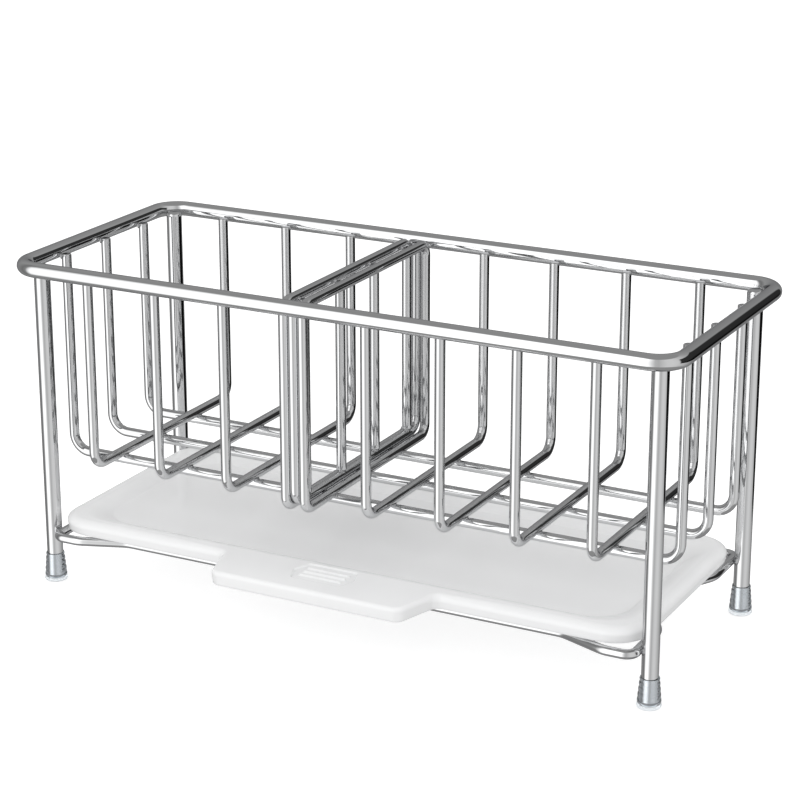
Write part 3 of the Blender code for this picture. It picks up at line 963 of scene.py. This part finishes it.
def traySkin(look, grip):
    # Rows of closed loops from the middle of the underside, out under the rim, down inside the skirt,
    # round its lower edge, up its outside, over the roll, across the flat crest, down to the floor.
    places, normals, rootBlend, broad, frontX, shares = trayOutline(look)
    roll = look["tabRoll"] + (look["roll"] - look["tabRoll"]) * rootBlend
    crest, floor, wall = look["crest"], look["floor"], look["wall"]
    rows, heights = [], []

    def addRows(flat, height):
        rows.append(flat)
        heights.append(np.broadcast_to(height, flat.shape[:2]))

    quarter = np.linspace(0, math.pi / 2, look["rollPoints"])[:, None]
    shrink = np.array(look["floorRows"])[:, None, None]
    slope = np.concatenate([np.linspace(*part) for part in look["slopeRows"]])
    slopeInsets = look["crestInset"] + (look["floorInset"] - look["crestInset"]) * slope
    slopeRows = np.stack([innerRing(look, frontX, shares, inset) for inset in slopeInsets])
    # The slope falls as share to the bend, and meets the floor on a soft maximum of the two.
    drop, crease = (crest - floor) * (1 - slope ** look["slopeBend"]), look["crease"]
    fall = floor + crease * np.log1p(np.exp(drop / crease))[:, None]
    fall += (crest - fall[0]) * (1 - softStep(slope))[:, None]
    # The underside, out to the skirt.
    addRows(slopeRows[-1] * shrink, floor - wall)
    addRows(slopeRows[::-1], fall[::-1] - wall)
    inner = look["innerRoll"]
    skirt = places + normals * (wall + inner)
    toward = np.array(look["underRows"])[:, None, None]
    addRows(slopeRows[0] + (skirt - slopeRows[0]) * toward, crest - wall)
    back = quarter[::-1]
    inset = wall + inner * (1 - np.cos(back))
    addRows(places + normals * inset[..., None], crest - wall - inner * (1 - np.sin(back)))
    # The skirt's lower edge is half an ellipse under the wall.
    half, draft, low = wall / 2, look["draft"], look["bottomEdge"]
    under = np.linspace(0, math.pi, look["lipPoints"])[:, None]
    inset = draft + half + half * np.cos(under)
    addRows(places + normals * inset[..., None], low - low * np.sin(under))
    # Up the outside and over the roll.
    climb = np.array(look["climbRows"])[:, None]
    top = crest - roll[None]
    inset = draft * (1 - climb)
    addRows(places + normals * inset[..., None], low + (top - low) * climb)
    wide = roll * (1 + (look["crown"] - 1) * broad)
    inset = wide[None] * (1 - np.cos(quarter))
    addRows(places + normals * inset[..., None], top + roll[None] * np.sin(quarter))
    # Across the crest, with close rows where the grip is.
    edge = places + normals * wide[:, None]
    tipY = -look["halfWidth"] - look["tabReach"]
    depth = -look["halfWidth"] + look["crestInset"] - tipY - look["tabRoll"]
    gripStart = (grip["setback"] - look["tabRoll"] - grip["margin"]) / depth
    fewRows, closeRows = look["crestRows"]
    outer = np.linspace(look["crestStart"], gripStart, fewRows, endpoint=False)
    share = np.concatenate((outer, np.linspace(gripStart, 1, closeRows)[:-1]))
    flat = edge + (slopeRows[0] - edge) * share[:, None, None]
    addRows(flat, crest + gripHeight(grip, tipY, flat[..., 0], flat[..., 1]))
    # The slope and the floor.
    addRows(slopeRows, fall)
    addRows(slopeRows[-1] * shrink[::-1], floor)
    loops = mirrored(np.concatenate(rows))
    height = np.concatenate(heights)
    height = np.concatenate((height, height[:, 1:-1][:, ::-1]), 1)
    count, around = height.shape
    skin = np.concatenate((loops, height[..., None]), -1).reshape(-1, 3)
    poles = np.array(((0, 0, floor - wall), (0, 0, floor)))
    return np.concatenate((skin, poles)), gridFaces(count, around), capFaces(count, around)


def addTray(look, grip):
    low, _ = boxOf("drip_tray")
    skin, quads, triangles = traySkin(look, grip)
    place = np.array((0, rackMiddle - look["forward"], low[2]))
    addPiece("dripTray", skin + place, quads, triangles, trayPlastic, "tray", "tray_plastic", ("drip_tray",))


addTray(trayLook, gripLook)
print("tray ready")


# The studio. A ring of light by direction is what the chrome mirrors; the camera sees plain white.

studioLook = {
    "soft": 1.0,
    "ring": (
        (-180, 0.3), (-165, 0.22), (-150, 0.3), (-142, 0.79), (-133, 1.4), (-120, 1.7),
        (-104, 1.7), (-93, 1.34), (-84, 0.95), (-74, 0.63), (-63, 0.58), (-52, 0.69),
        (-38, 0.8), (-20, 0.83), (-5, 0.78), (10, 0.68), (26, 0.6), (42, 0.5),
        (60, 0.41), (90, 0.36), (110, 0.38), (150, 0.37), (165, 0.38), (180, 0.3),
    ),
    "ringFull": 2,
    "ringBottom": (-48, -42),
    "ringTop": (50, 56),
    "beyond": 0.34,
    "flagSides": (1, 10, 71, 77),
    "flagHeight": (-21.2, -20.6, 26, 28.5),
    "flagSlant": 5.5,
    "slantFrom": -15.5,
    "flag": (0.004, 0.035),
    "flagFade": (-14, -5),
}

anyBounce = 0.5  # a count of bounces above this is one or more


def seenNode(tree, path):
    # 1 for a ray from the camera, also on through a clear foot.
    return mathNode(tree, "MAXIMUM", path.outputs["Is Camera Ray"], path.outputs["Is Transmission Ray"])


def makeWorld(look):
    world = bpy.data.worlds.new("studio")
    world.use_nodes = True
    bpy.context.scene.world = world
    tree = world.node_tree
    background = tree.nodes["Background"]
    background.inputs["Color"].default_value = (1, 1, 1, 1)
    direction = addNode(tree, "ShaderNodeSeparateXYZ")
    feed(tree, direction.inputs[0], addNode(tree, "ShaderNodeTexCoord").outputs["Generated"])
    x, y, z = direction.outputs
    azimuth = mathNode(tree, "DEGREES", mathNode(tree, "ARCTAN2", y, x))
    elevation = mathNode(tree, "DEGREES", mathNode(tree, "ARCSINE", z))
    # The ramp holds each level as a share of the ring's full level, so as a colour from 0 to 1.
    ramp = addNode(tree, "ShaderNodeValToRGB")
    stops = ramp.color_ramp.elements
    stops.remove(stops[1])
    for index, (angle, level) in enumerate(look["ring"]):
        stop = stops.new((angle + 180) / 360) if index else stops[0]
        share = level / look["ringFull"]
        stop.color = (share, share, share, 1)
    feed(tree, ramp.inputs["Fac"], rangeNode(tree, azimuth, -180, 180, easing="LINEAR"))
    ring = mathNode(tree, "MULTIPLY", ramp.outputs["Color"], look["ringFull"])
    inRing = windowNode(tree, elevation, look["ringBottom"] + look["ringTop"])
    bright = blendNode(tree, inRing, look["beyond"], ring)
    # The flag's near edge moves round by the slant for every degree below where the slant starts.
    lowered = mathNode(tree, "MAXIMUM", mathNode(tree, "SUBTRACT", look["slantFrom"], elevation), 0)
    slanted = mathNode(tree, "SUBTRACT", azimuth, mathNode(tree, "MULTIPLY", lowered, look["flagSlant"]))
    nearEdge = rangeNode(tree, slanted, *look["flagSides"][:2])
    farEdge = rangeNode(tree, azimuth, *look["flagSides"][2:], 1.0, 0.0)
    sides = mathNode(tree, "MULTIPLY", nearEdge, farEdge)
    flag = mathNode(tree, "MULTIPLY", sides, windowNode(tree, elevation, look["flagHeight"]))
    dark = rangeNode(tree, elevation, *look["flagFade"], *look["flag"])
    mirror = blendNode(tree, flag, bright, dark)
    # Mirrored rays that no matt surface scattered see the ring and flag; the camera sees white.
    path = addNode(tree, "ShaderNodeLightPath")
    bounced = mathNode(tree, "GREATER_THAN", path.outputs["Glossy Depth"], anyBounce)
    glossy = mathNode(tree, "MAXIMUM", path.outputs["Is Glossy Ray"], bounced)
    unscattered = mathNode(tree, "LESS_THAN", path.outputs["Diffuse Depth"], anyBounce)
    glossy = mathNode(tree, "MULTIPLY", glossy, unscattered)
    plain = blendNode(tree, seenNode(tree, path), look["soft"], 1.0)
    feed(tree, background.inputs["Strength"], blendNode(tree, glossy, plain, mirror))


floorLook = {
    "reach": 9.0,
    "paper": (0.55, 0.55, 0.55, 1),
    "glow": (0.2, 0.68),
}


def addFloor(look):
    # Pale paper. Its glow is the first value for the object, and the second for the camera.
    mesh = bpy.data.meshes.new("floor")
    reach = look["reach"]
    sheet = [(-reach, -reach, 0), (reach, -reach, 0), (reach, reach, 0), (-reach, reach, 0)]
    mesh.from_pydata(sheet, [], [(0, 1, 2, 3)])
    material = bpy.data.materials.new("palePaper")
    material.use_nodes = True
    tree = material.node_tree
    tree.nodes.remove(tree.nodes["Principled BSDF"])
    paper = addNode(tree, "ShaderNodeBsdfDiffuse", {"Color": look["paper"]})
    glow = addNode(tree, "ShaderNodeEmission")
    path = addNode(tree, "ShaderNodeLightPath")
    level = rangeNode(tree, seenNode(tree, path), 0, 1, *look["glow"], easing="LINEAR")
    feed(tree, glow.inputs["Strength"], level)
    both = addNode(tree, "ShaderNodeAddShader")
    feed(tree, both.inputs[0], paper.outputs[0])
    feed(tree, both.inputs[1], glow.outputs[0])
    # What the plated legs mirror through their clear feet passes the paper, as a mirrored ray does.
    bounced = mathNode(tree, "GREATER_THAN", path.outputs["Glossy Depth"], anyBounce)
    whole = addNode(tree, "ShaderNodeMixShader")
    feed(tree, whole.inputs[0], bounced)
    feed(tree, whole.inputs[1], both.outputs[0])
    feed(tree, whole.inputs[2], addNode(tree, "ShaderNodeBsdfTransparent").outputs[0])
    feed(tree, tree.nodes["Material Output"].inputs["Surface"], whole.outputs[0])
    mesh.materials.append(material)
    floor = newObject("floor", mesh)
    floor.visible_glossy = False
    material.cycles.emission_sampling = "NONE"


lampLook = (
    {"name": "overhead", "place": (-0.3, -0.2, 1.5), "size": 1.6, "power": 1.6},
    {"name": "front", "place": (0.1, -1.6, 0.7), "size": 1.4, "power": 3.6},
)
lampAim = (0, 0, 0.05)


def addLamps(lamps):
    for look in lamps:
        light = bpy.data.lights.new(look["name"], "AREA")
        light.size = look["size"]
        light.energy = look["power"]
        lamp = newObject(look["name"], light)
        lamp.location = look["place"]
        away = np.array(look["place"]) - np.array(lampAim)
        flat = math.hypot(away[0], away[1])
        lamp.rotation_euler = (math.atan2(flat, away[2]), 0, math.atan2(away[0], -away[1]))
        lamp.visible_glossy = False


cameraLook = {
    "place": (0.371285, -0.700433, 0.339904),
    "azimuth": 27.5285,
    "elevation": 18.4666,
    "lens": 108.873,
    "sensor": 36,
    "farthest": 50,
}


def addCamera(look):
    data = bpy.data.cameras.new("camera")
    data.lens = look["lens"]
    data.sensor_width = look["sensor"]
    data.clip_end = look["farthest"]
    camera = newObject("camera", data)
    camera.location = look["place"]
    camera.rotation_euler = (math.radians(90 - look["elevation"]), 0, math.radians(look["azimuth"]))
    bpy.context.scene.camera = camera


makeWorld(studioLook)
addFloor(floorLook)
addLamps(lampLook)
addCamera(cameraLook)
bpy.context.scene.view_settings.view_transform = "Standard"
print("studio ready")

bpy.context.view_layer.update()
